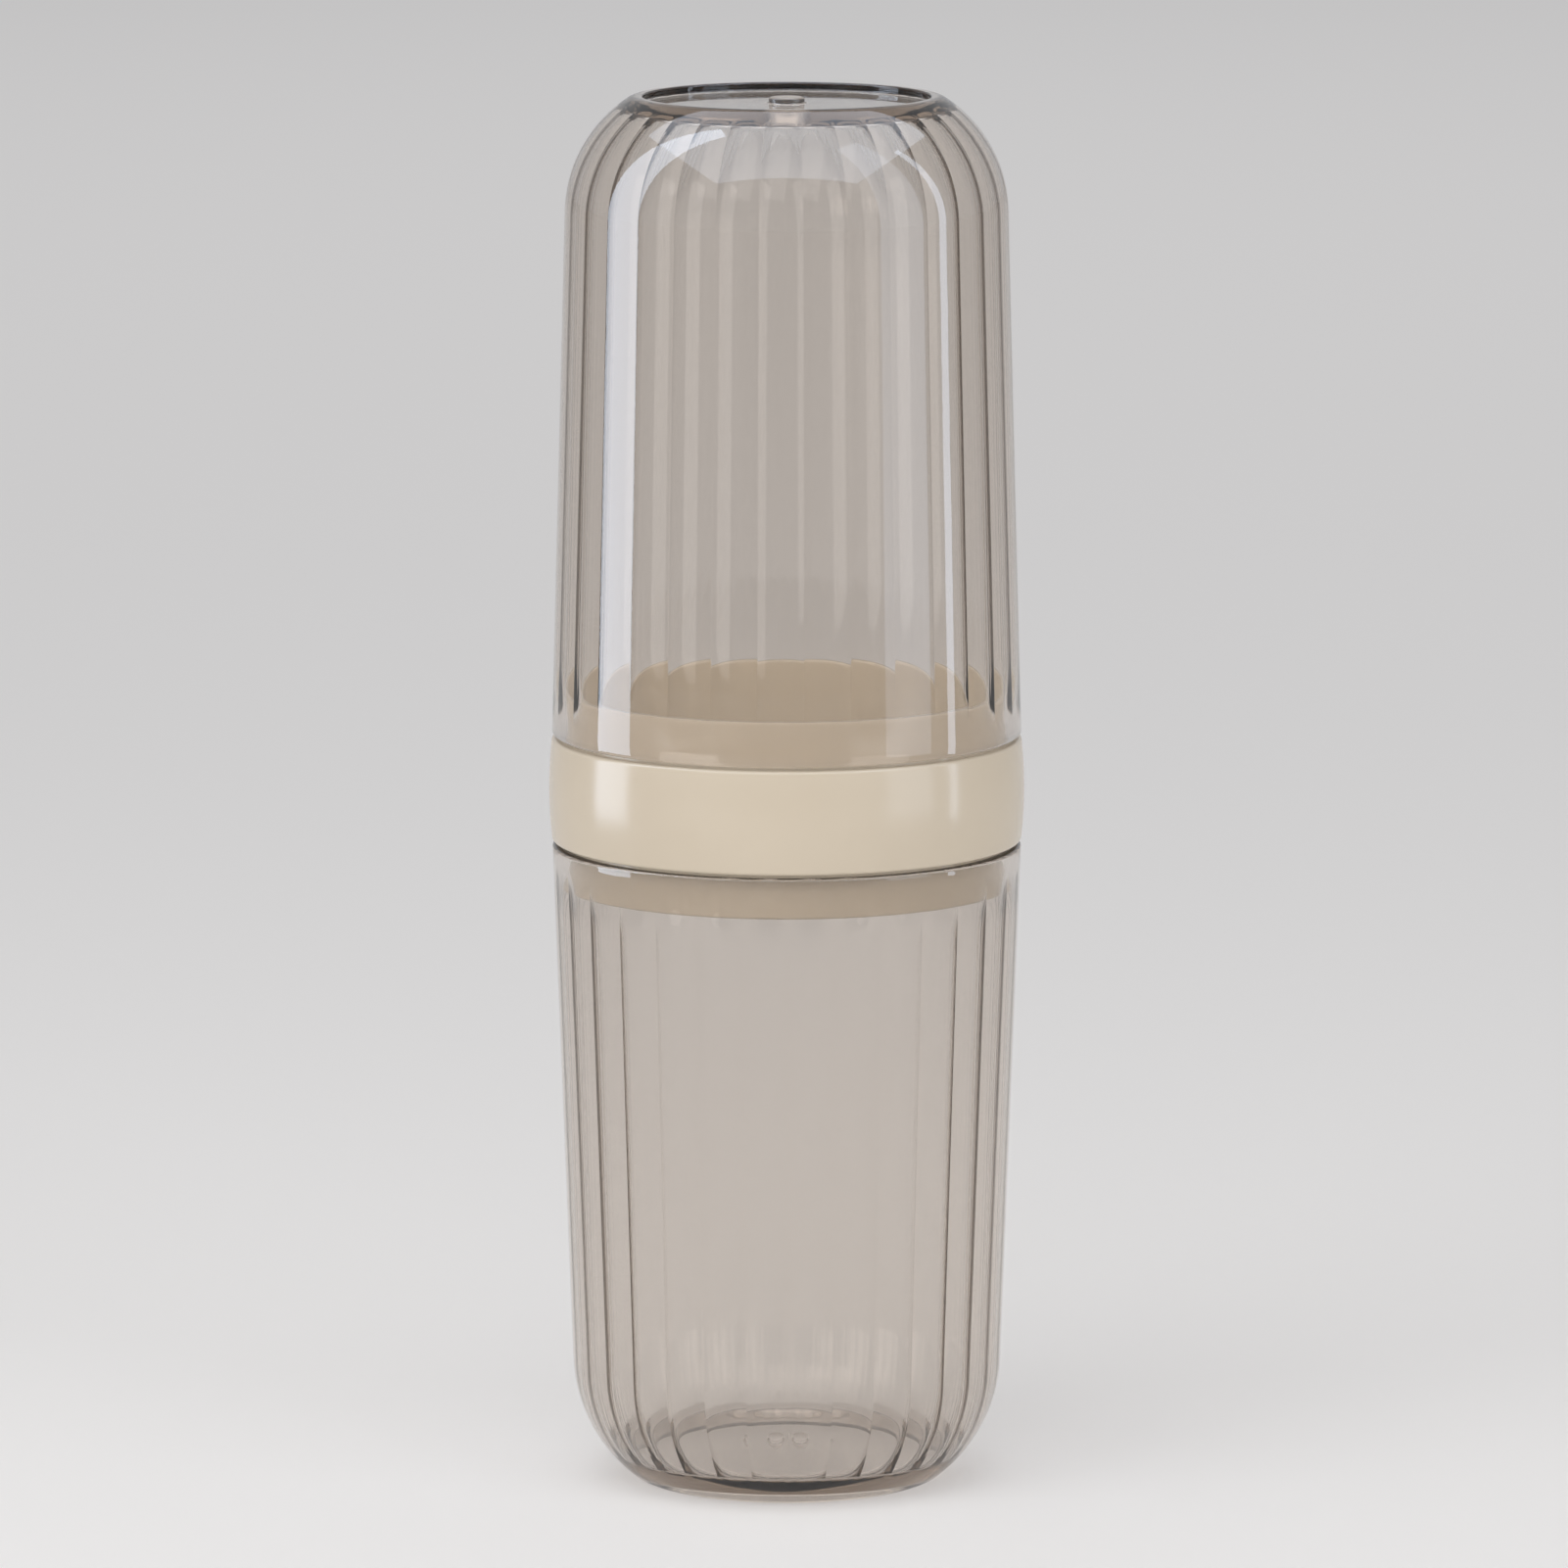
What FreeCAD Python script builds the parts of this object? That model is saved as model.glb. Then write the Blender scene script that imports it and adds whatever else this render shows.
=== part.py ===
import FreeCAD, Part
import math
import os

# Toothbrush travel case: two clear cups, fluted on the inside, pushed mouth to mouth onto a coupling ring.
# Lengths are in millimetres and angles in degrees. The case stands on z = 0 and its axis is Z.

# Both cups
mouth_radius = 34.55
base_height = 94.8
lid_height = 93.9
base_draft = 2.1
lid_draft = 1.57
base_corner_radius = 22.5
lid_corner_radius = 20.2
wall = 2.25
mouth_edge_radius = 0.5

# Closed end of a cup: the corner rounds over onto a raised rim to stand on, which surrounds a dish with the
# nub of the moulding gate at its centre. Without its round, the corner would meet the rim's top at the rim
# radius.
rim_radius = 22.6
rim_round = 2.5
rim_width = 0.85
base_dish_depth = 2.8
lid_dish_depth = 1.15
dish_edge_radius = 0.3
floor = 2.0
gate_radius = 2.6
gate_height = 0.95
gate_edge_radius = 0.35

# Flutes of the inside wall: the wall is full at the ridges and thinner by the depth between them. They begin
# past a plain socket at the mouth and grow to their depth over a run.
flute_count = 30
flute_depth = 0.35
flute_start = 2.5
flute_run = 8.0
base_flute_turn = 0.7
lid_flute_turn = 4.5
corner_sections = 7

# Coupling ring: a crowned band between two tongues that plug into the cups. Each mouth rests on a seat beside
# its tongue, which leaves a shadow groove between the mouth's edge and the band.
seat_spacing = 16.3
seat_width = 1.0
groove = 0.5
band_crown = 0.45
band_edge_radius = 0.6
upper_tongue = 6.3
lower_tongue = 6.1
tongue_wall = 1.6
tongue_tip_chamfer = 0.4
fit_clearance = 0.1

# Cuts run this far past the face that they open
overrun = 1.0

# A fillet or chamfer takes up at most this share of the wall that carries it
fillet_room_share = 0.45

# Worked out from the sizes above
front = -90.0
lid_mouth_z = base_height + seat_spacing
flute_end = flute_start + flute_run
full_turn = 360.0
axis_z = FreeCAD.Vector(0, 0, 1)
axis_x = FreeCAD.Vector(1, 0, 0)
origin = FreeCAD.Vector(0, 0, 0)
near = 1e-6


def around(radius, angle, z):
    """Point at a radius and an angle about the axis."""
    turn = math.radians(angle)
    return FreeCAD.Vector(radius * math.cos(turn), radius * math.sin(turn), z)


def meridian(radius, z):
    """Point of an outline that is turned about the axis."""
    return FreeCAD.Vector(radius, 0, z)


def revolve(edges):
    """Solid of revolution of a closed outline, given as edges in order."""
    face = Part.Face(Part.Wire(edges))
    return face.revolve(origin, axis_z, full_turn)


def limited(radius, *rooms):
    """Size of a fillet or chamfer, held back where the walls that carry it are too small for it."""
    return min([radius] + [room * fillet_room_share for room in rooms])


def lines(*points):
    """Straight edges through points in order."""
    return [Part.LineSegment(a, b).toShape() for a, b in zip(points, points[1:])]


def circles(solid, *places):
    """Circular edges of a solid that have one of the given radii and heights."""
    picked = []
    for edge in solid.Edges:
        if isinstance(edge.Curve, Part.Circle):
            radius = edge.Curve.Radius
            z = edge.Curve.Center.z
            if any(math.isclose(radius, r, rel_tol=near) and math.isclose(z, h, rel_tol=near, abs_tol=near)
                   for r, h in places):
                picked.append(edge)
    return picked


class CupForm:
    """Meridian of one cup, with its mouth on z = 0 and its closed end up: a wall that leans in by the draft,
    then a corner arc tangent to it, which a smaller round carries onto the flat top of the rim."""

    def __init__(self, height, draft, corner_radius, dish_depth):
        self.height = height
        self.lean = math.radians(draft)
        self.corner_radius = corner_radius
        self.dish_z = height - dish_depth
        self.ceiling_z = self.dish_z - floor
        along = (-math.sin(self.lean), math.cos(self.lean))
        inward = (-math.cos(self.lean), -math.sin(self.lean))
        # From the mouth to the rim, less the step from the wall to the arc's centre
        across = rim_radius - mouth_radius - corner_radius * inward[0]
        up = height - corner_radius * inward[1]
        ahead = across * along[0] + up * along[1]
        wall_length = ahead - math.sqrt(ahead ** 2 - across ** 2 - up ** 2 + corner_radius ** 2)
        self.centre_radius = mouth_radius + wall_length * along[0] + corner_radius * inward[0]
        self.centre_z = wall_length * along[1] + corner_radius * inward[1]
        # The rim's round lies inside the corner arc and touches it and the rim's top
        rise = height - rim_round - self.centre_z
        reach = math.sqrt((corner_radius - rim_round) ** 2 - rise ** 2)
        self.rim_top_radius = self.centre_radius + reach
        self.dish_radius = self.rim_top_radius - rim_width
        self.rim_angle = math.degrees(math.atan2(rise, reach))

    def on_arc(self, angle, inset):
        """Radius and height at an angle up the corner, at an inset from the outer surface."""
        reach = self.corner_radius - inset
        turn = math.radians(angle)
        return self.centre_radius + reach * math.cos(turn), self.centre_z + reach * math.sin(turn)

    def on_rim(self, angle):
        """Radius and height at an angle up the rim's round."""
        turn = math.radians(angle)
        across = rim_round * math.cos(turn)
        return self.rim_top_radius + across, self.height - rim_round + rim_round * math.sin(turn)

    def arc_angle(self, z, inset):
        """Angle up the corner where the surface at an inset reaches a height."""
        return math.degrees(math.asin((z - self.centre_z) / (self.corner_radius - inset)))

    def radius_at(self, z, inset):
        """Radius at a height, on the wall or on the corner, at an inset from the outer surface."""
        reach = self.corner_radius - inset
        if z <= self.centre_z + reach * math.sin(self.lean):
            return mouth_radius - z * math.tan(self.lean) - inset / math.cos(self.lean)
        return self.centre_radius + math.sqrt(reach ** 2 - (z - self.centre_z) ** 2)


def outer_body(form):
    """Solid cup without its hollow: drafted wall, corner arc, rim, dish and gate nub."""
    height = form.height
    lean = math.degrees(form.lean)
    upright = full_turn / 4
    dish_z = form.dish_z
    gate_z = dish_z + gate_height
    corner_start = meridian(*form.on_arc(lean, 0))
    corner_middle = meridian(*form.on_arc((lean + form.rim_angle) / 2, 0))
    corner_end = meridian(*form.on_arc(form.rim_angle, 0))
    rim_middle = meridian(*form.on_rim((form.rim_angle + upright) / 2))
    rim_top = meridian(form.rim_top_radius, height)
    edges = lines(
        rim_top,
        meridian(form.dish_radius, height),
        meridian(form.dish_radius, dish_z),
        meridian(gate_radius, dish_z),
        meridian(gate_radius, gate_z),
        meridian(0, gate_z),
        meridian(0, 0),
        meridian(mouth_radius, 0),
        corner_start,
    )
    edges.append(Part.Arc(corner_start, corner_middle, corner_end).toShape())
    edges.append(Part.Arc(corner_end, rim_middle, rim_top).toShape())
    solid = revolve(edges)
    mouth_round = limited(mouth_edge_radius, wall)
    dish_round = limited(dish_edge_radius, rim_width, height - dish_z)
    gate_round = limited(gate_edge_radius, gate_radius, gate_height)
    solid = solid.makeFillet(mouth_round, circles(solid, (mouth_radius, 0)))
    dish_edges = circles(solid, (form.dish_radius, height), (form.dish_radius, dish_z))
    solid = solid.makeFillet(dish_round, dish_edges)
    return solid.makeFillet(gate_round, circles(solid, (gate_radius, gate_z)))


def flute_section(form, z, turn, depth):
    """Closed ring of arcs at one height, each from ridge to ridge through the hollow of a flute."""
    ridge = form.radius_at(z, wall)
    hollow = form.radius_at(z, wall - depth)
    pitch = full_turn / flute_count
    arcs = []
    for k in range(flute_count):
        start = front + turn + k * pitch
        arc = Part.Arc(
            around(ridge, start, z),
            around(hollow, start + pitch / 2, z),
            around(ridge, start + pitch, z),
        )
        arcs.append(arc.toShape())
    return Part.Wire(arcs)


def socket(form):
    """Plain drafted hollow of the mouth, up to where the flutes begin."""
    wide = form.radius_at(-overrun, wall)
    narrow = form.radius_at(flute_start, wall)
    return Part.makeCone(wide, narrow, flute_start + overrun, meridian(0, -overrun), axis_z)


def fluted_core(form, turn):
    """Solid hollow of a cup: the flutes grow out of the plain socket, run straight up the wall and bend over
    the corner to the ceiling."""
    low_angle = math.degrees(form.lean)
    high_angle = form.arc_angle(form.ceiling_z, wall)
    step = (high_angle - low_angle) / corner_sections
    join_z = form.on_arc(low_angle - step / 2, wall)[1]
    corner_heights = [form.on_arc(low_angle + step * k, wall)[1] for k in range(1, corner_sections)]
    begin = flute_section(form, flute_start, turn, 0)
    full = flute_section(form, flute_end, turn, flute_depth)
    join = flute_section(form, join_z, turn, flute_depth)
    corner = [flute_section(form, z, turn, flute_depth) for z in corner_heights + [form.ceiling_z]]
    wall_part = Part.makeLoft([begin, full, join], True, True)
    corner_part = Part.makeLoft([join] + corner, True, False)
    return socket(form).fuse([wall_part, corner_part])


def cup(form, turn):
    """One cup, mouth down on z = 0: outer body less the fluted hollow."""
    return outer_body(form).cut(fluted_core(form, turn))


def band_outline(low_z, high_z, edge_round):
    """Edges of the band's outside from the upper shoulder to the lower one: a crowned face that bulges out at
    mid-height, with rounds tangent to it and to the flat shoulders."""
    half = (high_z - low_z) / 2
    middle_z = (low_z + high_z) / 2
    crown_radius = (half ** 2 + band_crown ** 2) / (2 * band_crown)
    crown_centre = mouth_radius + band_crown - crown_radius
    rise = half - edge_round
    round_centre = crown_centre + math.sqrt((crown_radius - edge_round) ** 2 - rise ** 2)
    tangent = math.atan2(rise, round_centre - crown_centre)
    bisector = (tangent + math.pi / 2) / 2

    def on_round(angle, side):
        return meridian(round_centre + edge_round * math.cos(angle),
                        middle_z + side * (rise + edge_round * math.sin(angle)))

    crown_top = on_round(tangent, 1)
    crown_bottom = on_round(tangent, -1)
    upper = Part.Arc(on_round(math.pi / 2, 1), on_round(bisector, 1), crown_top)
    crown = Part.Arc(crown_top, meridian(mouth_radius + band_crown, middle_z), crown_bottom)
    lower = Part.Arc(crown_bottom, on_round(bisector, -1), on_round(math.pi / 2, -1))
    return [arc.toShape() for arc in (upper, crown, lower)], round_centre


def coupling_ring():
    """Crowned band with a seat for each cup's mouth and a drafted tongue into each cup."""
    low_z = base_height
    high_z = lid_mouth_z
    bottom_z = low_z - lower_tongue
    top_z = high_z + upper_tongue
    low_root = base_form.radius_at(0, wall) - fit_clearance
    low_tip = base_form.radius_at(lower_tongue, wall) - fit_clearance
    high_root = lid_form.radius_at(0, wall) - fit_clearance
    high_tip = lid_form.radius_at(upper_tongue, wall) - fit_clearance
    low_seat = low_root + seat_width
    high_seat = high_root + seat_width
    bore_radius = min(low_root, high_root) - tongue_wall
    shoulder = mouth_radius - max(low_seat, high_seat)
    tip_wall = min(low_tip, high_tip) - bore_radius
    tip_chamfer = limited(tongue_tip_chamfer, tip_wall, upper_tongue, lower_tongue)
    band_low = low_z + groove
    band_high = high_z - groove
    edge_round = limited(band_edge_radius, shoulder, band_high - band_low)
    outside, shoulder_edge = band_outline(band_low, band_high, edge_round)
    edges = outside + lines(
        meridian(shoulder_edge, band_low),
        meridian(low_seat, band_low),
        meridian(low_seat, low_z),
        meridian(low_root, low_z),
        meridian(low_tip, bottom_z),
        meridian(bore_radius, bottom_z),
        meridian(bore_radius, top_z),
        meridian(high_tip, top_z),
        meridian(high_root, high_z),
        meridian(high_seat, high_z),
        meridian(high_seat, band_high),
        meridian(shoulder_edge, band_high),
    )
    solid = revolve(edges)
    tips = circles(solid, (high_tip, top_z), (bore_radius, top_z), (low_tip, bottom_z), (bore_radius, bottom_z))
    return solid.makeChamfer(tip_chamfer, tips)


def base_cup():
    """Cup that the case stands on, turned mouth up."""
    solid = cup(base_form, -base_flute_turn)
    solid.rotate(origin, axis_x, full_turn / 2)
    solid.translate(FreeCAD.Vector(0, 0, base_height))
    return solid


def lid_cup():
    """Cup that closes the case, mouth down on the ring."""
    solid = cup(lid_form, lid_flute_turn)
    solid.translate(FreeCAD.Vector(0, 0, lid_mouth_z))
    return solid


base_form = CupForm(base_height, base_draft, base_corner_radius, base_dish_depth)
lid_form = CupForm(lid_height, lid_draft, lid_corner_radius, lid_dish_depth)

os.makedirs("parts", exist_ok=True)
for name, make in (("base_cup", base_cup), ("coupling_ring", coupling_ring), ("lid_cup", lid_cup)):
    make().exportStep("parts/" + name + ".step")
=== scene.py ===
import math
from typing import NamedTuple

import bpy
import numpy as np
from bpy.props import FloatProperty, FloatVectorProperty, IntProperty, PointerProperty
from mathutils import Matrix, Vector


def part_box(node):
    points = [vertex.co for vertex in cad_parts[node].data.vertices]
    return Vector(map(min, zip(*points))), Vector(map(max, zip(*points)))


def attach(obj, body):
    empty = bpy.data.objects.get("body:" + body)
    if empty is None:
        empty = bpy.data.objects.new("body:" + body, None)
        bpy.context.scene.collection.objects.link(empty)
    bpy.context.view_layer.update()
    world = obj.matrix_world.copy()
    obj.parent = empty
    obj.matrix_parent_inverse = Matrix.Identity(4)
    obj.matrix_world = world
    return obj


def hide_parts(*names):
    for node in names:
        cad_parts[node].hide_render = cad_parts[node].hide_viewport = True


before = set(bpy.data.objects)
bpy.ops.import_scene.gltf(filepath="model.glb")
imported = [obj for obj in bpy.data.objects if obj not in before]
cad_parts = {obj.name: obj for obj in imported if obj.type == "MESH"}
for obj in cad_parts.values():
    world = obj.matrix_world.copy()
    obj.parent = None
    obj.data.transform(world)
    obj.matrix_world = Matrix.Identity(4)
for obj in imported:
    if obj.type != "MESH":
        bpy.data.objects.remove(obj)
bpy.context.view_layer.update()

bl_info = {
    "name": "Toothbrush Travel Case",
    "version": (1, 0, 0),
    "blender": (4, 5, 0),
    "location": "3D View > Sidebar > Travel Case",
    "description": "Two clear fluted cups pushed onto a cream coupling ring, and a studio to show them in",
    "category": "Add Mesh",
}

MM = 0.001
QUARTER = math.pi / 2

# Refraction of styrene-acrylonitrile and of polypropylene
SAN_IOR = 1.57
POLYPROPYLENE_IOR = 1.49

# Light crosses up to eight clear surfaces and runs along the walls by inner reflection
CLEAR_BOUNCES = 24
GLOSS_BOUNCES = 16

# Innermost mesh row of a cup, as a share of the gate's radius
POLE_SHARE = 1 / 8

# Heights of the case that the frame gives
BASE_MOUTH_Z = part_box("base_cup")[1].z
LID_MOUTH_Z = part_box("lid_cup")[0].z
LID_TOP_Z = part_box("lid_cup")[1].z
RING_LOW_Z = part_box("coupling_ring")[0].z
RING_HIGH_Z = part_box("coupling_ring")[1].z


def linear(hex_colour):
    """Linear red, green and blue of an sRGB hex colour."""
    steps = np.array([int(hex_colour[k:k + 2], 16) for k in (1, 3, 5)]) / 255
    curve = np.where(steps <= 0.04045, steps / 12.92, ((steps + 0.055) / 1.055) ** 2.4)
    return tuple(float(step) for step in curve)


def length(name, description, default):
    """A size in metres that the sidebar shows."""
    return FloatProperty(name=name, description=description, default=default, min=0, precision=5, unit="LENGTH")


def turn(name, description, default):
    """An angle, given in degrees, that the sidebar shows."""
    return FloatProperty(name=name, description=description, default=math.radians(default), subtype="ANGLE")


def colour(name, description, default):
    """A colour, given as sRGB hex, that the sidebar shows."""
    return FloatVectorProperty(
        name=name, description=description, default=linear(default), subtype="COLOR", min=0, max=1
    )


def amount(name, description, default):
    """A plain number that the sidebar shows."""
    return FloatProperty(name=name, description=description, default=default, min=0, precision=3)


def fraction(name, description, default):
    """A number from zero to one that the sidebar shows."""
    return FloatProperty(
        name=name, description=description, default=default, min=0, max=1, precision=3, subtype="FACTOR"
    )


def power(name, description, default):
    """A lamp's power in watts that the sidebar shows."""
    return FloatProperty(name=name, description=description, default=default, min=0, precision=2, unit="POWER")


class CupSizes(bpy.types.PropertyGroup):
    """Sizes of the two cups."""

    mouth_radius: length("Mouth radius", "Outside of the mouth", 34.55 * MM)
    base_draft: turn("Base draft", "Lean of the base cup's wall", 2.1)
    lid_draft: turn("Lid draft", "Lean of the lid cup's wall", 1.57)
    base_corner: length("Base corner", "Round between the base cup's wall and its rim", 22.5 * MM)
    lid_corner: length("Lid corner", "Round between the lid cup's wall and its rim", 20.2 * MM)
    wall: length("Wall", "Wall at the ridges", 2.25 * MM)
    mouth_round: length("Mouth round", "Round on the mouth's outer edge", 0.5 * MM)
    lip_round: length("Lip round", "Round on the mouth's inner edge", 0.2 * MM)
    rim_radius: length("Rim radius", "Where the corner would meet the rim's top without its round", 22.6 * MM)
    rim_round: length("Rim round", "Round from the corner onto the rim's top", 2.5 * MM)
    rim_width: length("Rim width", "Flat top of the rim", 0.85 * MM)
    dish_round: length("Dish round", "Rounds on the dish's edge and foot", 0.3 * MM)
    base_dish: length("Base dish", "Depth of the hollow under the base cup", 2.8 * MM)
    lid_dish: length("Lid dish", "Depth of the dish on the lid cup", 1.15 * MM)
    floor: length("Floor", "Thickness under a dish", 2.0 * MM)
    ceiling_round: length("Ceiling round", "Round between the inner corner and the ceiling", 1.2 * MM)
    gate_radius: length("Gate radius", "Nub left by the moulding gate", 2.6 * MM)
    gate_height: length("Gate height", "Nub above the dish", 0.95 * MM)
    gate_round: length("Gate round", "Round on the nub's edge", 0.35 * MM)
    flute_count: IntProperty(name="Flutes", description="Flutes round the inside", default=30, min=3)
    flute_depth: length("Flute depth", "Hollow of a flute below its ridges", 0.35 * MM)
    flute_start: length("Flute start", "Plain socket at the mouth", 2.5 * MM)
    flute_run: length("Flute run", "Length over which the flutes grow to their depth", 8.0 * MM)
    base_flute_turn: turn("Base flute turn", "First ridge of the base from the front", 0.7)
    lid_flute_turn: turn("Lid flute turn", "First ridge of the lid from the front", 4.5)
    flute_steps: IntProperty(name="Flute steps", description="Mesh columns across one flute", default=16, min=4)


class RingSizes(bpy.types.PropertyGroup):
    """Sizes of the coupling ring."""

    crown: length("Crown", "Bulge of the band at mid-height", 0.45 * MM)
    edge_round: length("Edge round", "Rounds on the band's edges", 0.6 * MM)
    tongue_wall: length("Tongue wall", "Thickness of a tongue at its root", 1.6 * MM)
    tip_round: length("Tip round", "Rounds on a tongue's tip", 0.4 * MM)
    seat_width: length("Seat width", "Step beside a tongue that a mouth rests on", 1.0 * MM)
    groove: length("Groove", "Shadow gap between a mouth's edge and the band", 0.5 * MM)
    clearance: length("Clearance", "Gap between a tongue and the ridges", 0.1 * MM)
    columns: IntProperty(name="Columns", description="Mesh columns round the ring", default=256, min=16)


class CaseFinish(bpy.types.PropertyGroup):
    """Colours and gloss of the two plastics."""

    smoke_tint: colour("Smoke tint", "Colour that one wall of the clear plastic lets through", "#f0ece8")
    smoke_depth: colour("Smoke depth", "Colour that deepens along the clear plastic", "#ddd2c6")
    smoke_density: amount("Smoke density", "Absorption of the clear plastic, per metre", 70.0)
    clear_roughness: fraction("Clear roughness", "Haze of the clear plastic", 0.015)
    gate_roughness: fraction("Gate roughness", "Frost of the cut moulding gate", 0.45)
    wave_length: length("Wave length", "Flow waves of the clear plastic", 14.0 * MM)
    wave_height: length("Wave height", "Depth of the flow waves", 0.02 * MM)
    cream: colour("Cream", "Colour of the coupling ring", "#d3c6b2")
    cream_deep: colour("Deep cream", "Darker parts of the mottle", "#cdbfaa")
    cream_roughness: fraction("Cream roughness", "Gloss of the coupling ring", 0.16)
    sheen_spread: fraction("Sheen spread", "How far the ring's gloss varies either way", 0.05)
    mottle_size: length("Mottle size", "Cloudiness of the dye", 14.0 * MM)
    grain_size: length("Grain size", "Moulded grain of the ring", 0.5 * MM)
    grain_height: length("Grain height", "Depth of the moulded grain", 0.004 * MM)


class StudioSettings(bpy.types.PropertyGroup):
    """Floor, lamps and camera."""

    floor_size: length("Floor size", "Side of the floor", 16.0)
    floor_colour: colour("Floor colour", "Pale floor", "#f2f0ee")
    sky_colour: colour("Sky colour", "Even light all round", "#f4f5f8")
    sky_strength: amount("Sky strength", "Strength of the even light", 0.57)
    overhead_power: power("Overhead power", "Softbox above the front", 2.4)
    fill_power: power("Fill power", "Softboxes at the left and right front", 2.4)
    ground_power: power("Ground power", "Softbox over the floor behind", 4.6)
    card_colour: colour("Card colour", "Cool cards that show in the gloss", "#dbe8fb")
    ceiling_power: power("Ceiling power", "Wide card overhead", 18.0)
    strip_power: power("Strip power", "Tall card at the left", 6.0)
    panel_power: power("Panel power", "Tall card at the right front", 2.6)
    slit_power: power("Slit power", "Narrow card at the right", 0.6)
    camera_distance: length("Camera distance", "From the axis to the lens", 1.538)
    camera_height: length("Camera height", "Lens above the floor", 0.3475)
    camera_side: FloatProperty(
        name="Camera side", description="Lens beside the axis", default=-0.4 * MM, precision=5, unit="LENGTH"
    )
    camera_pitch: turn("Camera pitch", "Lens looks down by this", 9.02)
    focal_length: FloatProperty(name="Focal length", description="Lens", default=242.7, unit="CAMERA")


def straight(start, end, count):
    """So many points on a line, closer together near both ends, without the end itself."""
    share = (1 - np.cos(math.pi * np.arange(count) / count)) / 2
    return np.asarray(start) + share[:, None] * (np.asarray(end) - np.asarray(start))


def bend(centre, radius, first, last, count):
    """So many points on an arc: the centre plus the radius along each angle from the first to the last, without
    the last."""
    angle = first + (last - first) * np.arange(count) / count
    return np.asarray(centre) + radius * np.column_stack([np.cos(angle), np.sin(angle)])


def shell(name, points, capped):
    """Mesh object of a closed surface on a grid of rows by columns. Columns always close on themselves. Rows
    close on themselves too, or, on a capped shell, end in one point at each end of the axis."""
    rows, columns = points.shape[:2]
    index = np.arange(rows * columns).reshape(rows, columns)
    below = np.roll(index, -1, axis=0)
    if capped:
        index, below = index[:-1], below[:-1]
    right = np.roll(index, -1, axis=1)
    below_right = np.roll(below, -1, axis=1)
    quads = np.stack([index, below, below_right, right], axis=-1).reshape(-1, 4)
    places = points.reshape(-1, 3)
    caps = np.empty((0, 3), int)
    if capped:
        poles = places.shape[0] + np.arange(2)
        places = np.vstack([places, points[0].mean(axis=0), points[-1].mean(axis=0)])
        first, last = np.arange(columns), (rows - 1) * columns + np.arange(columns)
        caps = np.vstack([
            np.column_stack([np.full(columns, poles[0]), first, np.roll(first, -1)]),
            np.column_stack([np.full(columns, poles[1]), np.roll(last, -1), last]),
        ])
    mesh = bpy.data.meshes.new(name)
    corners = np.concatenate([quads.ravel(), caps.ravel()])
    sizes = np.concatenate([np.full(len(quads), 4), np.full(len(caps), 3)])
    mesh.vertices.add(len(places))
    mesh.vertices.foreach_set("co", places.astype(np.float32).ravel())
    mesh.loops.add(len(corners))
    mesh.loops.foreach_set("vertex_index", corners.astype(np.int32))
    mesh.polygons.add(len(sizes))
    mesh.polygons.foreach_set("loop_start", (np.cumsum(sizes) - sizes).astype(np.int32))
    mesh.polygons.foreach_set("use_smooth", np.ones(len(sizes), bool))
    mesh.update(calc_edges=True)
    if mesh.validate(verbose=False):
        raise RuntimeError(name + " has faces that Blender had to mend")
    piece = bpy.data.objects.new(name, mesh)
    bpy.context.scene.collection.objects.link(piece)
    return piece


class Cup(NamedTuple):
    """What sets one cup apart from the other."""

    height: float
    lean: float
    corner: float
    dish_depth: float
    first_ridge: float


def corner_centre(size, cup):
    """Centre of the corner arc: the arc is tangent to the leaning wall and passes through the rim's outer
    edge. From the mouth, the wall's length is where both hold."""
    inward = np.array([-math.cos(cup.lean), -math.sin(cup.lean)])
    along = np.array([-math.sin(cup.lean), math.cos(cup.lean)])
    mouth = np.array([size.mouth_radius, 0])
    reach = np.array([size.rim_radius, cup.height]) - mouth - cup.corner * inward
    ahead = reach @ along
    wall_length = ahead - math.sqrt(ahead ** 2 - reach @ reach + cup.corner ** 2)
    return mouth + wall_length * along + cup.corner * inward


def tangent_round(centre, radius, level, rounding):
    """Round between an arc and the level line above it: its centre lies one rounding below the line and one
    rounding inside the arc. Gives that centre and the angle where the round leaves the arc."""
    rise = level - rounding - centre[1]
    across = math.sqrt((radius - rounding) ** 2 - rise ** 2)
    return np.array([centre[0] + across, level - rounding]), math.atan2(rise, across)


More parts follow.
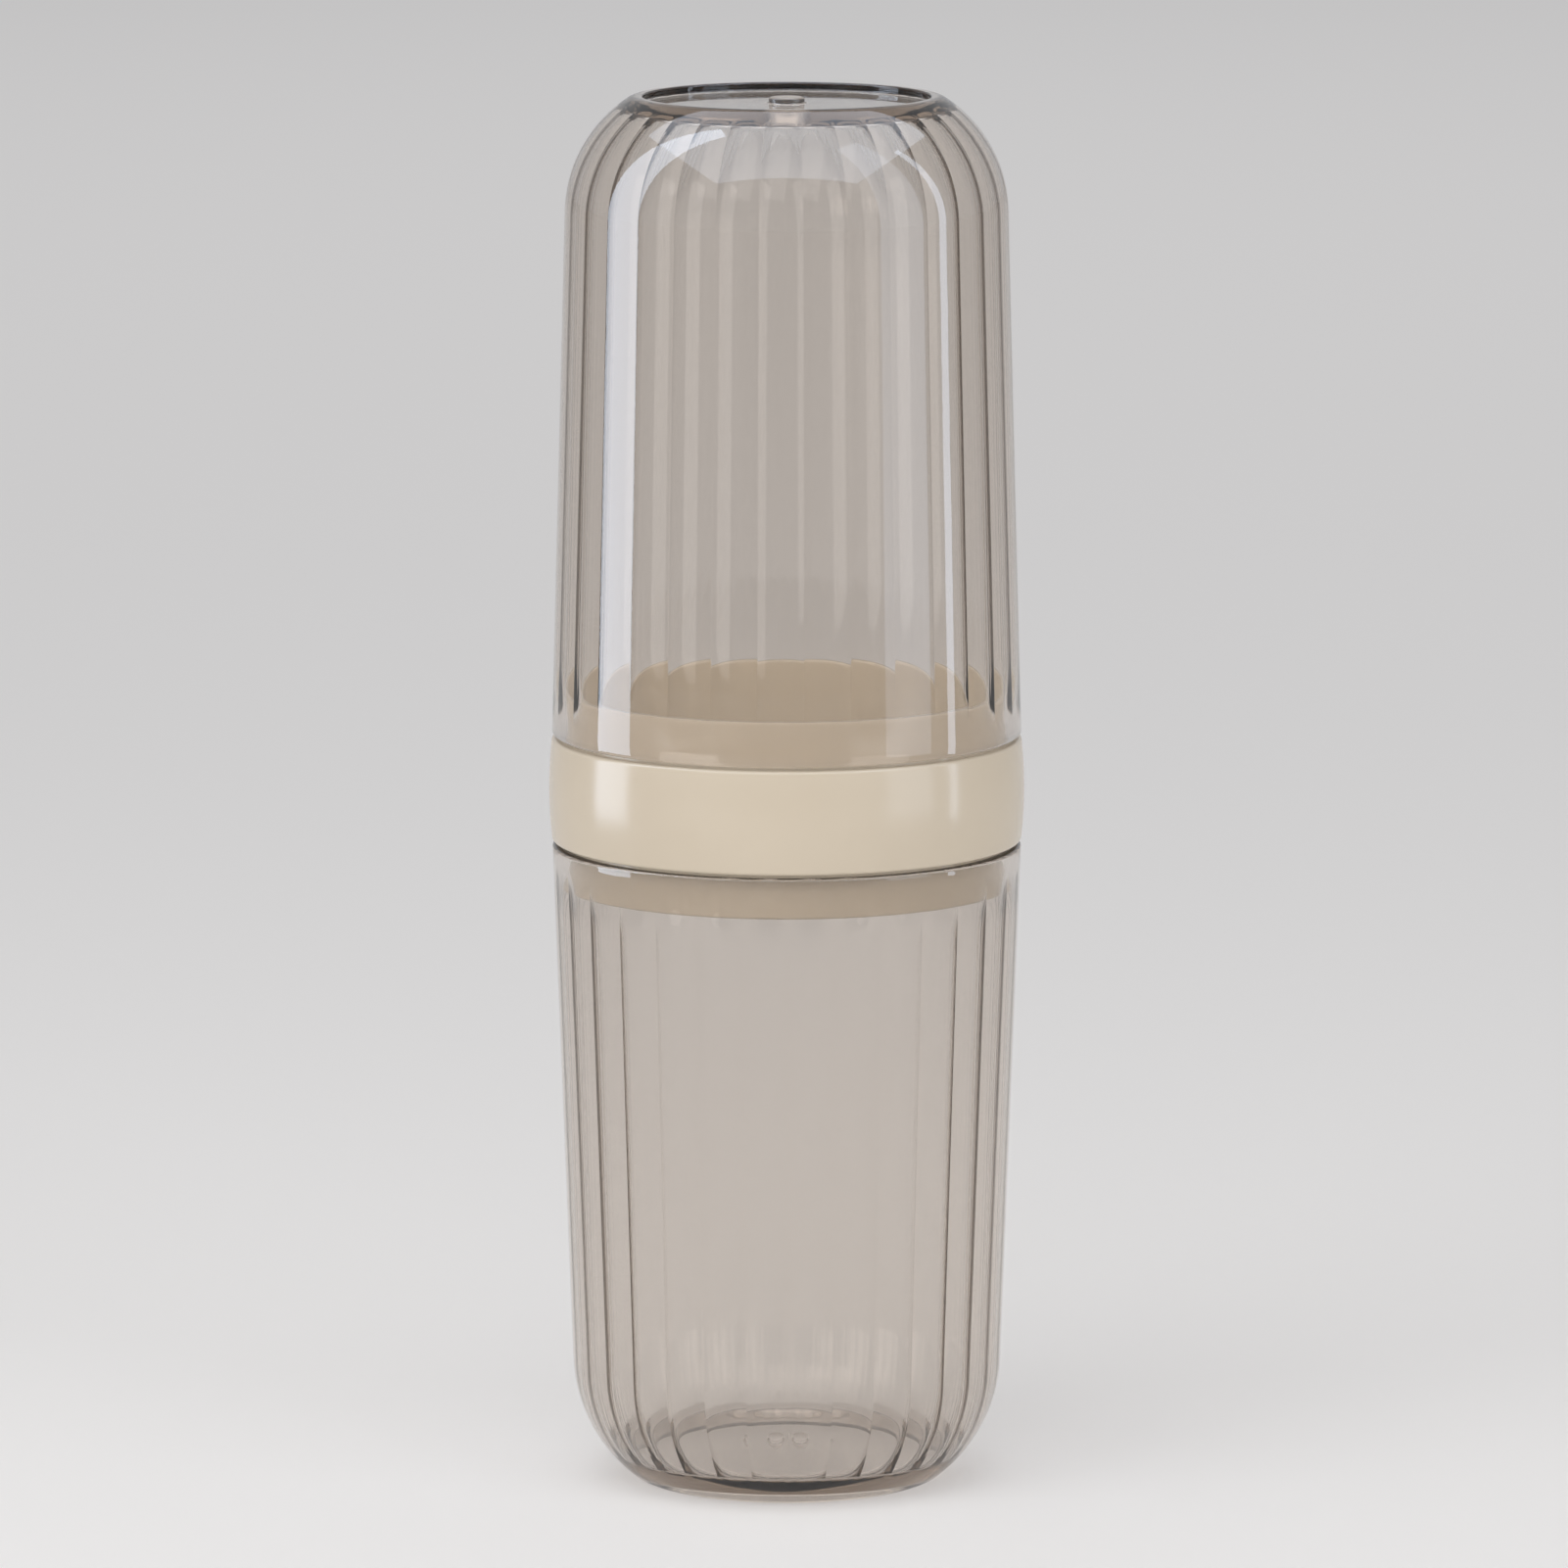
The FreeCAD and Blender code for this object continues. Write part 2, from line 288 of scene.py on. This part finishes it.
def cup_outside(size, cup):
    """Outline of a cup's outside, mouth down on height zero, as radius and height: gate nub, dish, rim,
    corner arc, leaning wall and the round at the mouth."""
    height, lean, corner = cup.height, cup.lean, cup.corner
    dish_z = height - cup.dish_depth
    gate_z = dish_z + size.gate_height
    gate, small, edge = size.gate_radius, size.gate_round, size.dish_round
    centre = corner_centre(size, cup)
    rim_centre, rim_angle = tangent_round(centre, corner, height, size.rim_round)
    dish = rim_centre[0] - size.rim_width
    mouth_centre = np.array([
        size.mouth_radius - size.mouth_round * (1 + math.sin(lean)) / math.cos(lean), size.mouth_round
    ])
    into = np.array([math.cos(lean), math.sin(lean)])
    return np.vstack([
        straight((gate * POLE_SHARE, gate_z), (gate - small, gate_z), 5),
        bend((gate - small, gate_z - small), small, QUARTER, 0, 6),
        bend((gate + small, dish_z + small), small, math.pi, 3 * QUARTER, 6),
        straight((gate + small, dish_z), (dish - edge, dish_z), 8),
        bend((dish - edge, dish_z + edge), edge, -QUARTER, 0, 6),
        straight((dish, dish_z + edge), (dish, height - edge), 3),
        bend((dish + edge, height - edge), edge, math.pi, QUARTER, 6),
        straight((dish + edge, height), (rim_centre[0], height), 4),
        bend(rim_centre, size.rim_round, QUARTER, rim_angle, 10),
        bend(centre, corner, rim_angle, lean, 28),
        straight(centre + corner * into, mouth_centre + size.mouth_round * into, 12),
        bend(mouth_centre, size.mouth_round, lean, -QUARTER, 7),
    ])


def cup_inside(size, cup):
    """Outline of a cup's inside along the ridges, from the mouth's flat to the ceiling, with the angle that
    points into the wall at each place and the share of the flutes' depth taken there. The share grows from
    the plain socket over the run of the flutes and fades again on the ceiling, both as a smooth step."""
    lean = cup.lean
    centre = corner_centre(size, cup)
    radius = cup.corner - size.wall
    ceiling_z = cup.height - cup.dish_depth - size.floor
    top_centre, top_angle = tangent_round(centre, radius, ceiling_z, size.ceiling_round)
    lip, pole = size.lip_round, size.gate_radius * POLE_SHARE
    into = np.array([math.cos(lean), math.sin(lean)])
    along = np.array([-math.sin(lean), math.cos(lean)])
    wall_top = centre + radius * into
    wall_foot = wall_top - along * wall_top[1] / along[1]
    run_start = wall_foot + size.flute_start * along
    run_end = run_start + size.flute_run * along
    stretches = (
        (straight(wall_foot + (lip * 2, 0), wall_foot + (lip, 0), 2), lean, lean),
        (bend(wall_foot + (lip, lip), lip, -QUARTER, -math.pi + lean, 4), lean, lean),
        (straight(wall_foot + lip * along, run_start, 3), lean, lean),
        (straight(run_start, run_end, 12), lean, lean),
        (straight(run_end, wall_top, 10), lean, lean),
        (bend(centre, radius, lean, top_angle, 30), lean, top_angle),
        (bend(top_centre, size.ceiling_round, top_angle, QUARTER, 7), top_angle, QUARTER),
        (straight((top_centre[0], ceiling_z), (pole, ceiling_z), 6), QUARTER, QUARTER),
    )
    outline = np.vstack([points for points, first, last in stretches])
    aim = np.concatenate([
        first + (last - first) * np.arange(len(points)) / len(points) for points, first, last in stretches
    ])
    grow = np.clip((outline[:, 1] - run_start[1]) / (run_end[1] - run_start[1]), 0, 1)
    fade = np.clip((QUARTER - aim) / (QUARTER - top_angle), 0, 1)
    return outline, aim, grow * grow * (3 - 2 * grow) * fade * fade * (3 - 2 * fade)


def cup_points(size, cup):
    """Grid of a cup, mouth down on height zero. Each outline point is turned about the axis, and an inside
    point is pushed into the wall by the flute's depth times one less the square of its place between two
    ridges, from minus one to one."""
    steps = size.flute_steps
    across = np.sin(QUARTER * (2 * np.arange(steps) / steps - 1))
    pitch = math.tau / size.flute_count
    flutes = np.arange(size.flute_count)[:, None]
    angle = (cup.first_ridge - QUARTER + pitch * (flutes + (across + 1) / 2)).ravel()
    hollow = np.tile(size.flute_depth * (1 - across ** 2), size.flute_count)
    outside = cup_outside(size, cup)
    inside, aim, share = cup_inside(size, cup)
    outline = np.vstack([outside, inside])
    aim = np.concatenate([np.zeros(len(outside)), aim])
    share = np.concatenate([np.zeros(len(outside)), share])
    push = share[:, None] * hollow[None, :]
    radius = outline[:, :1] + push * np.cos(aim)[:, None]
    z = outline[:, 1:] + push * np.sin(aim)[:, None]
    return np.stack([radius * np.cos(angle), radius * np.sin(angle), z], axis=-1)


def ring_outline(size, cups):
    """Closed outline of the ring as radius and height, clockwise: crowned band with its edge rounds, lower
    groove, seat and tongue, bore, upper tongue, seat and groove. The crown is an arc through the mouth radius
    at both edges of the band and the full bulge between them."""
    low_z, high_z = BASE_MOUTH_Z + size.groove, LID_MOUTH_Z - size.groove
    half, middle_z = (high_z - low_z) / 2, (high_z + low_z) / 2
    crown_radius = (half ** 2 + size.crown ** 2) / (2 * size.crown)
    crown_centre = np.array([cups.mouth_radius + size.crown - crown_radius, middle_z])
    edge, tip = size.edge_round, size.tip_round
    upper_centre, crown_angle = tangent_round(crown_centre, crown_radius, high_z, edge)
    lower_centre = np.array([upper_centre[0], low_z + edge])
    low_root = cups.mouth_radius - cups.wall / math.cos(cups.base_draft) - size.clearance
    high_root = cups.mouth_radius - cups.wall / math.cos(cups.lid_draft) - size.clearance
    low_tip = low_root - (BASE_MOUTH_Z - RING_LOW_Z) * math.tan(cups.base_draft)
    high_tip = high_root - (RING_HIGH_Z - LID_MOUTH_Z) * math.tan(cups.lid_draft)
    low_seat, high_seat = low_root + size.seat_width, high_root + size.seat_width
    bore = min(low_root, high_root) - size.tongue_wall
    return np.vstack([
        bend(upper_centre, edge, QUARTER, crown_angle, 8),
        bend(crown_centre, crown_radius, crown_angle, -crown_angle, 14),
        bend(lower_centre, edge, -crown_angle, -QUARTER, 8),
        straight((lower_centre[0], low_z), (low_seat, low_z), 3),
        straight((low_seat, low_z), (low_seat, BASE_MOUTH_Z), 3),
        straight((low_seat, BASE_MOUTH_Z), (low_root, BASE_MOUTH_Z), 4),
        straight((low_root, BASE_MOUTH_Z), (low_tip, RING_LOW_Z + tip), 6),
        bend((low_tip - tip, RING_LOW_Z + tip), tip, 0, -QUARTER, 5),
        bend((bore + tip, RING_LOW_Z + tip), tip, -QUARTER, -math.pi, 5),
        straight((bore, RING_LOW_Z + tip), (bore, RING_HIGH_Z - tip), 12),
        bend((bore + tip, RING_HIGH_Z - tip), tip, math.pi, QUARTER, 5),
        bend((high_tip - tip, RING_HIGH_Z - tip), tip, QUARTER, 0, 5),
        straight((high_tip, RING_HIGH_Z - tip), (high_root, LID_MOUTH_Z), 6),
        straight((high_root, LID_MOUTH_Z), (high_seat, LID_MOUTH_Z), 4),
        straight((high_seat, LID_MOUTH_Z), (high_seat, high_z), 3),
        straight((high_seat, high_z), (upper_centre[0], high_z), 3),
    ])


def revolved(outline, columns):
    """Grid of an outline turned about the axis in equal steps."""
    angle = math.tau * np.arange(columns) / columns
    radius, z = outline[:, :1], outline[:, 1:]
    return np.stack([radius * np.cos(angle), radius * np.sin(angle), z + 0 * angle], axis=-1)


def add_node(tree, kind, values=None, links=None, **settings):
    """Add a node, with its settings, the values of its sockets and the links into them."""
    node = tree.nodes.new(kind)
    for name, value in settings.items():
        setattr(node, name, value)
    for socket, value in (values or {}).items():
        node.inputs[socket].default_value = value
    for socket, source in (links or {}).items():
        tree.links.new(source, node.inputs[socket])
    return node


def new_material(name):
    """Empty node material and its output node."""
    material = bpy.data.materials.new(name)
    material.use_nodes = True
    material.node_tree.nodes.clear()
    output = add_node(material.node_tree, "ShaderNodeOutputMaterial")
    return material, material.node_tree, output


def smoke_clear_plastic(finish, size):
    """Moulded styrene-acrylonitrile: clear and glossy, with a light warm smoke tint that deepens where the eye
    looks along the wall. Faint flow waves from moulding bend the reflections a little, and the cut gate is
    frosted. Lamps shine through the walls, but not through the end faces of the mouths, where real light is
    turned back into the wall."""
    material, tree, output = new_material("smoke_clear_san")
    place = add_node(tree, "ShaderNodeTexCoord").outputs["Object"]
    waves = add_node(
        tree, "ShaderNodeTexNoise", {"Scale": 1 / finish.wave_length, "Detail": 1.0}, {"Vector": place}
    )
    relief = add_node(
        tree, "ShaderNodeBump", {"Strength": 1.0, "Distance": finish.wave_height}, {"Height": waves.outputs[0]}
    )
    across = add_node(tree, "ShaderNodeVectorMath", {1: (1, 1, 0)}, {0: place}, operation="MULTIPLY")
    from_axis = add_node(tree, "ShaderNodeVectorMath", links={0: across.outputs[0]}, operation="LENGTH")
    frost = add_node(
        tree, "ShaderNodeMapRange",
        {
            "From Min": size.gate_radius - size.gate_round, "From Max": size.gate_radius + size.gate_round,
            "To Min": finish.gate_roughness, "To Max": finish.clear_roughness,
        },
        {"Value": from_axis.outputs["Value"]},
    )
    body = add_node(
        tree, "ShaderNodeBsdfPrincipled",
        {"Base Color": (*finish.smoke_tint, 1), "IOR": SAN_IOR, "Transmission Weight": 1},
        {"Roughness": frost.outputs[0], "Normal": relief.outputs[0]},
    )
    lamps_through = add_node(tree, "ShaderNodeBsdfTransparent")
    ray = add_node(tree, "ShaderNodeLightPath")
    height = add_node(tree, "ShaderNodeSeparateXYZ", links={0: place})
    middle = (LID_MOUTH_Z + BASE_MOUTH_Z) / 2
    at_mouth = add_node(
        tree, "ShaderNodeMath", {1: middle, 2: LID_MOUTH_Z - middle + size.mouth_round / 2},
        {0: height.outputs["Z"]}, operation="COMPARE",
    )
    through_wall = add_node(
        tree, "ShaderNodeMath", links={0: ray.outputs["Is Shadow Ray"], 1: at_mouth.outputs[0]},
        operation="SUBTRACT", use_clamp=True,
    )
    mix = add_node(
        tree, "ShaderNodeMixShader",
        links={0: through_wall.outputs[0], 1: body.outputs[0], 2: lamps_through.outputs[0]},
    )
    smoke = add_node(
        tree, "ShaderNodeVolumeAbsorption",
        {"Color": (*finish.smoke_depth, 1), "Density": finish.smoke_density},
    )
    tree.links.new(mix.outputs[0], output.inputs["Surface"])
    tree.links.new(smoke.outputs[0], output.inputs["Volume"])
    return material


def cream_plastic(finish):
    """Moulded polypropylene, dyed cream: glossy, with a faint mottle from the dye, a gloss that varies over the
    face and a fine moulded grain."""
    material, tree, output = new_material("cream_polypropylene")
    place = add_node(tree, "ShaderNodeTexCoord").outputs["Object"]
    mottle = add_node(
        tree, "ShaderNodeTexNoise", {"Scale": 1 / finish.mottle_size, "Detail": 3.0}, {"Vector": place}
    )
    dye = add_node(
        tree, "ShaderNodeMix", {"A": (*finish.cream, 1), "B": (*finish.cream_deep, 1)},
        {"Factor": mottle.outputs[0]}, data_type="RGBA",
    )
    sheen = add_node(
        tree, "ShaderNodeMapRange",
        {
            "To Min": finish.cream_roughness - finish.sheen_spread,
            "To Max": finish.cream_roughness + finish.sheen_spread,
        },
        {"Value": mottle.outputs[0]},
    )
    grain = add_node(
        tree, "ShaderNodeTexNoise", {"Scale": 1 / finish.grain_size, "Detail": 2.0}, {"Vector": place}
    )
    relief = add_node(
        tree, "ShaderNodeBump", {"Strength": 1.0, "Distance": finish.grain_height}, {"Height": grain.outputs[0]}
    )
    body = add_node(
        tree, "ShaderNodeBsdfPrincipled", {"IOR": POLYPROPYLENE_IOR},
        {"Base Color": dye.outputs["Result"], "Roughness": sheen.outputs[0], "Normal": relief.outputs[0]},
    )
    tree.links.new(body.outputs[0], output.inputs["Surface"])
    return material


def finish_piece(piece, material, body, node):
    """Dress a piece and let it stand for its CAD node."""
    piece.data.materials.append(material)
    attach(piece, body)
    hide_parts(node)


class TRAVELCASE_OT_clear_cups(bpy.types.Operator):
    """Build the base cup and the lid cup"""

    bl_idname = "travelcase.clear_cups"
    bl_label = "Clear Cups"

    def execute(self, context):
        size = context.scene.travelcase_cups
        material = smoke_clear_plastic(context.scene.travelcase_finish, size)
        base = Cup(BASE_MOUTH_Z, size.base_draft, size.base_corner, size.base_dish, -size.base_flute_turn)
        lid_height = LID_TOP_Z - LID_MOUTH_Z
        lid = Cup(lid_height, size.lid_draft, size.lid_corner, size.lid_dish, size.lid_flute_turn)
        base_grid = cup_points(size, base) * (1, -1, -1) + (0, 0, BASE_MOUTH_Z)
        lid_grid = cup_points(size, lid) + (0, 0, LID_MOUTH_Z)
        finish_piece(shell("clear_base", base_grid, True), material, "base", "base_cup")
        finish_piece(shell("clear_lid", lid_grid, True), material, "lid", "lid_cup")
        return {"FINISHED"}


class TRAVELCASE_OT_cream_ring(bpy.types.Operator):
    """Build the coupling ring"""

    bl_idname = "travelcase.cream_ring"
    bl_label = "Cream Ring"

    def execute(self, context):
        size = context.scene.travelcase_ring
        points = revolved(ring_outline(size, context.scene.travelcase_cups), size.columns)
        material = cream_plastic(context.scene.travelcase_finish)
        finish_piece(shell("cream_ring", points, False), material, "ring", "coupling_ring")
        return {"FINISHED"}


class LampPlace(NamedTuple):
    """Name, centre, the point that it faces, width and height of one rectangular lamp, in metres."""

    name: str
    centre: tuple
    target: tuple
    width: float
    height: float


CASE_MIDDLE = (0, 0, LID_TOP_Z / 2)
OVERHEAD = LampPlace("overhead_softbox", (-0.16, -0.4, 0.82), CASE_MIDDLE, 0.75, 0.95)
LEFT_FILL = LampPlace("left_fill", (-0.75, -0.62, 0.4), CASE_MIDDLE, 0.62, 0.8)
RIGHT_FILL = LampPlace("right_fill", (0.75, -0.68, 0.45), CASE_MIDDLE, 0.62, 0.9)
GROUND = LampPlace("ground_softbox", (0, 1.8, 1.6), (0, 1.8, 0), 1.6, 1.6)
CEILING = LampPlace("ceiling_card", (0, -0.22, 1.05), (0, -0.22, 0), 1.7, 1.45)
LEFT_STRIP = LampPlace("left_strip", (-0.55, 0.02, 0.75), (0, 0.02, 0.75), 0.22, 1.7)
RIGHT_PANEL = LampPlace("right_panel", (0.61, -0.34, 0.75), (0, 0, 0.75), 0.31, 1.7)
RIGHT_SLIT = LampPlace("right_slit", (0.6, -0.04, 0.4), (0, -0.04, 0.4), 0.05, 0.9)


def area_lamp(place, watts):
    """Rectangular lamp in its place, which the camera doesn't see."""
    lamp = bpy.data.lights.new(place.name, "AREA")
    lamp.shape = "RECTANGLE"
    lamp.size = place.width
    lamp.size_y = place.height
    lamp.energy = watts
    box = bpy.data.objects.new(place.name, lamp)
    box.location = place.centre
    facing = Vector(place.target) - Vector(place.centre)
    box.rotation_euler = facing.to_track_quat("-Z", "Y").to_euler()
    box.visible_camera = False
    bpy.context.scene.collection.objects.link(box)
    return box


def softbox(place, watts):
    """Lamp that lights what stands there but doesn't show in the gloss."""
    area_lamp(place, watts).visible_glossy = False


def gloss_card(place, watts, tint):
    """Tinted lamp that lights nothing and only shows in the gloss."""
    box = area_lamp(place, watts)
    box.data.color = tint
    box.visible_diffuse = False
    box.visible_transmission = False


class TRAVELCASE_OT_studio(bpy.types.Operator):
    """Build the pale floor, the soft lamps and the camera"""

    bl_idname = "travelcase.studio"
    bl_label = "Studio"

    def execute(self, context):
        scene = context.scene
        studio = scene.travelcase_studio
        side = studio.floor_size / 2
        mesh = bpy.data.meshes.new("studio_floor")
        corners = side * np.array([(-1, -1, 0), (1, -1, 0), (1, 1, 0), (-1, 1, 0)])
        mesh.from_pydata(corners.tolist(), [], [(0, 1, 2, 3)])
        floor = bpy.data.objects.new("studio_floor", mesh)
        scene.collection.objects.link(floor)
        material, tree, output = new_material("pale_paper")
        paper = add_node(
            tree, "ShaderNodeBsdfPrincipled",
            {"Base Color": (*studio.floor_colour, 1), "Roughness": 0.9, "Specular IOR Level": 0},
        )
        tree.links.new(paper.outputs[0], output.inputs["Surface"])
        mesh.materials.append(material)

        world = bpy.data.worlds.new("studio_light")
        world.use_nodes = True
        world.node_tree.nodes.clear()
        sky = add_node(
            world.node_tree, "ShaderNodeBackground",
            {"Color": (*studio.sky_colour, 1), "Strength": studio.sky_strength},
        )
        add_node(world.node_tree, "ShaderNodeOutputWorld", links={"Surface": sky.outputs[0]})
        scene.world = world

        softbox(OVERHEAD, studio.overhead_power)
        softbox(LEFT_FILL, studio.fill_power)
        softbox(RIGHT_FILL, studio.fill_power)
        softbox(GROUND, studio.ground_power)
        gloss_card(CEILING, studio.ceiling_power, studio.card_colour)
        gloss_card(LEFT_STRIP, studio.strip_power, studio.card_colour)
        gloss_card(RIGHT_PANEL, studio.panel_power, studio.card_colour)
        gloss_card(RIGHT_SLIT, studio.slit_power, studio.card_colour)

        lens = bpy.data.cameras.new("photo_camera")
        lens.lens = studio.focal_length
        camera = bpy.data.objects.new("photo_camera", lens)
        camera.location = (studio.camera_side, -studio.camera_distance, studio.camera_height)
        camera.rotation_euler = (QUARTER - studio.camera_pitch, 0, 0)
        scene.collection.objects.link(camera)
        scene.camera = camera
        scene.view_settings.view_transform = "Standard"
        scene.cycles.max_bounces = CLEAR_BOUNCES
        scene.cycles.glossy_bounces = GLOSS_BOUNCES
        scene.cycles.transmission_bounces = CLEAR_BOUNCES
        scene.cycles.transparent_max_bounces = CLEAR_BOUNCES
        return {"FINISHED"}


class TRAVELCASE_PT_panel(bpy.types.Panel):
    """Sizes, finishes and build buttons of the travel case"""

    bl_idname = "TRAVELCASE_PT_panel"
    bl_label = "Travel Case"
    bl_space_type = "VIEW_3D"
    bl_region_type = "UI"
    bl_category = "Travel Case"

    def draw(self, context):
        for operator in OPERATORS:
            self.layout.operator(operator.bl_idname)
        for attribute in SETTINGS:
            group = getattr(context.scene, attribute)
            box = self.layout.box()
            for name in group.bl_rna.properties.keys():
                if name not in ("rna_type", "name"):
                    box.prop(group, name)


SETTINGS = {
    "travelcase_cups": CupSizes,
    "travelcase_ring": RingSizes,
    "travelcase_finish": CaseFinish,
    "travelcase_studio": StudioSettings,
}
OPERATORS = (TRAVELCASE_OT_clear_cups, TRAVELCASE_OT_cream_ring, TRAVELCASE_OT_studio)


def register():
    for attribute, group in SETTINGS.items():
        bpy.utils.register_class(group)
        setattr(bpy.types.Scene, attribute, PointerProperty(type=group))
    for kind in (*OPERATORS, TRAVELCASE_PT_panel):
        bpy.utils.register_class(kind)


def unregister():
    for kind in (TRAVELCASE_PT_panel, *reversed(OPERATORS)):
        bpy.utils.unregister_class(kind)
    for attribute, group in reversed(SETTINGS.items()):
        delattr(bpy.types.Scene, attribute)
        bpy.utils.unregister_class(group)


def main():
    register()
    bpy.ops.travelcase.clear_cups()
    bpy.ops.travelcase.cream_ring()
    bpy.ops.travelcase.studio()


if __name__ == "__main__":
    main()
